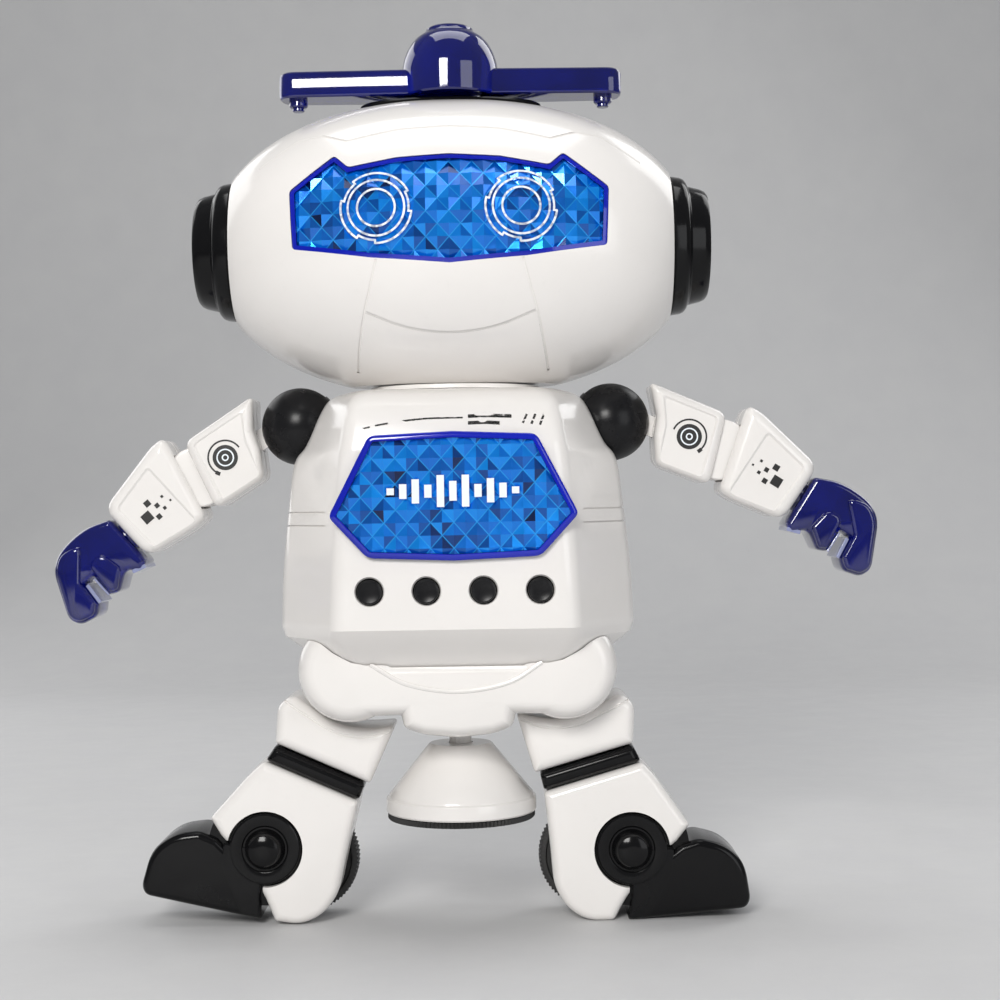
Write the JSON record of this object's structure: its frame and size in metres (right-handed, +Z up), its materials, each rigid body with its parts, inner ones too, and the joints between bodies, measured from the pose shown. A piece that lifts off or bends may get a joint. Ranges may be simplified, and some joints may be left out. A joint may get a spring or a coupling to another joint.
{
  "type": "walking humanoid robot toy",
  "caption": "Toy humanoid robot with an egg-shaped head and faceted visor, boxy torso, jointed arms and legs, heel wheels, a turning round base and a spinning rotor.",
  "frame": {"origin": "centre of the robot's bounding box in X and Y, on the floor under its shoes", "axes": "+Z is up, -Y is the way the robot faces, and +X is the robot's own left, so left_ pieces lie on +X and right_ pieces on -X"},
  "size_m": [0.2035, 0.0729, 0.2215],
  "materials": {
    "white_plastic": "glossy moulded ABS",
    "black_plastic": "gloss black ABS",
    "black_rubber": "matt serrated rubber",
    "blue_lens": "faceted transparent blue over foil",
    "translucent_blue": "translucent dark blue",
    "inner_plastic": "satin grey",
    "circuit_board": "solder mask",
    "steel": "plated can",
    "gear_plastic": "natural acetal"
  },
  "bodies": {
    "torso": {"torso_front_shell": "white_plastic", "torso_rear_shell": "white_plastic", "chest_lens": "blue_lens", "neck_collar": "white_plastic", "pelvis_front_shell": "white_plastic", "pelvis_rear_shell": "white_plastic", "circuit_board": "circuit_board", "battery_box": "black_plastic", "speaker": "black_plastic", "gearbox_plate": "inner_plastic", "motor": "steel"},
    "head": {"head_front_shell": "white_plastic", "head_rear_shell": "white_plastic", "visor_lens": "blue_lens", "eye_light_board": "circuit_board", "left_ear_cap": "black_plastic", "right_ear_cap": "black_plastic", "head_crest": "translucent_blue", "rotor_seat": "black_plastic", "neck_post": "inner_plastic"},
    "rotor": {"rotor": "translucent_blue"},
    "base": {"base_cone": "white_plastic", "base_tread_ring": "black_rubber", "base_bottom_plate": "inner_plastic", "base_shaft": "white_plastic", "output_gear": "gear_plastic"},
    "idler": {"idler_gear": "gear_plastic"},
    "pinion": {"motor_pinion": "gear_plastic"},
    "power_switch": {"power_switch": "black_plastic"},
    "battery_door": {"battery_door": "white_plastic"},
    "button_1": {"button_1": "black_plastic"},
    "button_2": {"button_2": "black_plastic"},
    "button_3": {"button_3": "black_plastic"},
    "button_4": {"button_4": "black_plastic"},
    "left_shoulder": {"left_shoulder_ball": "black_plastic"},
    "left_upper_arm": {"left_upper_arm_front_shell": "white_plastic", "left_upper_arm_rear_shell": "white_plastic", "left_arm_link": "white_plastic"},
    "left_forearm": {"left_forearm_front_shell": "white_plastic", "left_forearm_rear_shell": "white_plastic"},
    "left_hand": {"left_hand": "translucent_blue"},
    "left_thigh": {"left_thigh": "white_plastic"},
    "left_lower_leg": {"left_knee_ring": "black_plastic", "left_shin_front_shell": "white_plastic", "left_shin_rear_shell": "white_plastic"},
    "left_shoe": {"left_shoe": "black_plastic"},
    "left_heel_wheel": {"left_heel_wheel": "black_rubber"},
    "right_shoulder": {"right_shoulder_ball": "black_plastic"},
    "right_upper_arm": {"right_upper_arm_front_shell": "white_plastic", "right_upper_arm_rear_shell": "white_plastic", "right_arm_link": "white_plastic"},
    "right_forearm": {"right_forearm_front_shell": "white_plastic", "right_forearm_rear_shell": "white_plastic"},
    "right_hand": {"right_hand": "translucent_blue"},
    "right_thigh": {"right_thigh": "white_plastic"},
    "right_lower_leg": {"right_knee_ring": "black_plastic", "right_shin_front_shell": "white_plastic", "right_shin_rear_shell": "white_plastic"},
    "right_shoe": {"right_shoe": "black_plastic"},
    "right_heel_wheel": {"right_heel_wheel": "black_rubber"}
  },
  "joints": [
    {"name": "head_turn", "type": "hinge", "parent": "torso", "child": "head", "pos_m": [-0.0023, -0.0003, 0.1314], "axis": [0, 0, 1], "range_deg": [-40, 40]},
    {"name": "rotor_spin", "type": "hinge", "parent": "head", "child": "rotor", "pos_m": [-0.0023, -0.0003, 0.2038], "axis": [0, 0, 1], "continuous": true},
    {"name": "base_turn", "type": "hinge", "parent": "torso", "child": "base", "pos_m": [-0.0023, -0.0003, 0.03], "axis": [0, 0, 1], "continuous": true},
    {"name": "idler_spin", "type": "hinge", "parent": "torso", "child": "idler", "pos_m": [-0.02165, -0.0003, 0.068], "axis": [0, 0, 1], "continuous": true},
    {"name": "pinion_spin", "type": "hinge", "parent": "torso", "child": "pinion", "pos_m": [-0.02165, -0.01405, 0.068], "axis": [0, 0, 1], "continuous": true},
    {"name": "power_switch_slide", "type": "slide", "parent": "torso", "child": "power_switch", "axis": [1, 0, 0], "range_m": [0, 0.003]},
    {"name": "battery_door_slide", "type": "slide", "parent": "torso", "child": "battery_door", "axis": [0, 1, 0], "range_m": [0, 0.02]},
    {"name": "button_1_press", "type": "slide", "parent": "torso", "child": "button_1", "axis": [0, 1, 0], "range_m": [0, 0.0012], "stiffness_N_per_m": 200, "springref_m": -0.001},
    {"name": "button_2_press", "type": "slide", "parent": "torso", "child": "button_2", "axis": [0, 1, 0], "range_m": [0, 0.0012], "stiffness_N_per_m": 200, "springref_m": -0.001},
    {"name": "button_3_press", "type": "slide", "parent": "torso", "child": "button_3", "axis": [0, 1, 0], "range_m": [0, 0.0012], "stiffness_N_per_m": 200, "springref_m": -0.001},
    {"name": "button_4_press", "type": "slide", "parent": "torso", "child": "button_4", "axis": [0, 1, 0], "range_m": [0, 0.0012], "stiffness_N_per_m": 200, "springref_m": -0.001},
    {"name": "left_shoulder_swing", "type": "hinge", "parent": "torso", "child": "left_shoulder", "pos_m": [0.0362, -0.0003, 0.1224], "axis": [-1, 0, 0], "range_deg": [-60, 120]},
    {"name": "left_shoulder_raise", "type": "hinge", "parent": "left_shoulder", "child": "left_upper_arm", "pos_m": [0.0362, -0.0003, 0.1224], "axis": [0, -1, 0], "range_deg": [-22, 34]},
    {"name": "left_elbow_bend", "type": "hinge", "parent": "left_upper_arm", "child": "left_forearm", "pos_m": [0.06298, -0.0003, 0.11496], "axis": [0, -1, 0], "range_deg": [-9, 10]},
    {"name": "left_wrist_turn", "type": "hinge", "parent": "left_forearm", "child": "left_hand", "pos_m": [0.0827, -0.0003, 0.10349], "axis": [0.8415, 0, -0.5402], "range_deg": [-60, 60]},
    {"name": "left_hip_splay", "type": "hinge", "parent": "torso", "child": "left_thigh", "pos_m": [0.0235, -0.0003, 0.0637], "axis": [0, -1, 0], "range_deg": [-1, 28]},
    {"name": "left_knee_turn", "type": "hinge", "parent": "left_thigh", "child": "left_lower_leg", "pos_m": [0.02896, -0.0003, 0.03739], "axis": [-0.2756, 0, 0.9613], "range_deg": [-18, 18]},
    {"name": "left_ankle_tilt", "type": "hinge", "parent": "left_lower_leg", "child": "left_shoe", "pos_m": [0.03948, -0.0003, 0.01741], "axis": [0, -1, 0], "range_deg": [-3, 3]},
    {"name": "left_wheel_roll", "type": "hinge", "parent": "left_lower_leg", "child": "left_heel_wheel", "pos_m": [0.03015, 0.004, 0.01401], "axis": [0, 1, 0], "continuous": true},
    {"name": "right_shoulder_swing", "type": "hinge", "parent": "torso", "child": "right_shoulder", "pos_m": [-0.0408, -0.0003, 0.1224], "axis": [-1, 0, 0], "range_deg": [-60, 120]},
    {"name": "right_shoulder_raise", "type": "hinge", "parent": "right_shoulder", "child": "right_upper_arm", "pos_m": [-0.0408, -0.0003, 0.1224], "axis": [0, 1, 0], "range_deg": [-12, 44]},
    {"name": "right_elbow_bend", "type": "hinge", "parent": "right_upper_arm", "child": "right_forearm", "pos_m": [-0.06579, -0.0003, 0.11025], "axis": [0, 1, 0], "range_deg": [-9, 10]},
    {"name": "right_wrist_turn", "type": "hinge", "parent": "right_forearm", "child": "right_hand", "pos_m": [-0.08383, -0.0003, 0.09627], "axis": [-0.7627, 0, -0.6468], "range_deg": [-60, 60]},
    {"name": "right_hip_splay", "type": "hinge", "parent": "torso", "child": "right_thigh", "pos_m": [-0.0281, -0.0003, 0.0625], "axis": [0, 1, 0], "range_deg": [-8, 20]},
    {"name": "right_knee_turn", "type": "hinge", "parent": "right_thigh", "child": "right_lower_leg", "pos_m": [-0.03717, -0.0003, 0.0372], "axis": [0.4067, 0, 0.9135], "range_deg": [-18, 18]},
    {"name": "right_ankle_tilt", "type": "hinge", "parent": "right_lower_leg", "child": "right_shoe", "pos_m": [-0.05036, -0.0003, 0.01889], "axis": [0, 1, 0], "range_deg": [-3, 3]},
    {"name": "right_wheel_roll", "type": "hinge", "parent": "right_lower_leg", "child": "right_heel_wheel", "pos_m": [-0.04161, 0.004, 0.01422], "axis": [0, 1, 0], "continuous": true}
  ],
  "couplings": [
    {"joint": "idler_spin", "follows": "base_turn", "ratio": -1},
    {"joint": "pinion_spin", "follows": "base_turn", "ratio": 2.4}
  ]
}
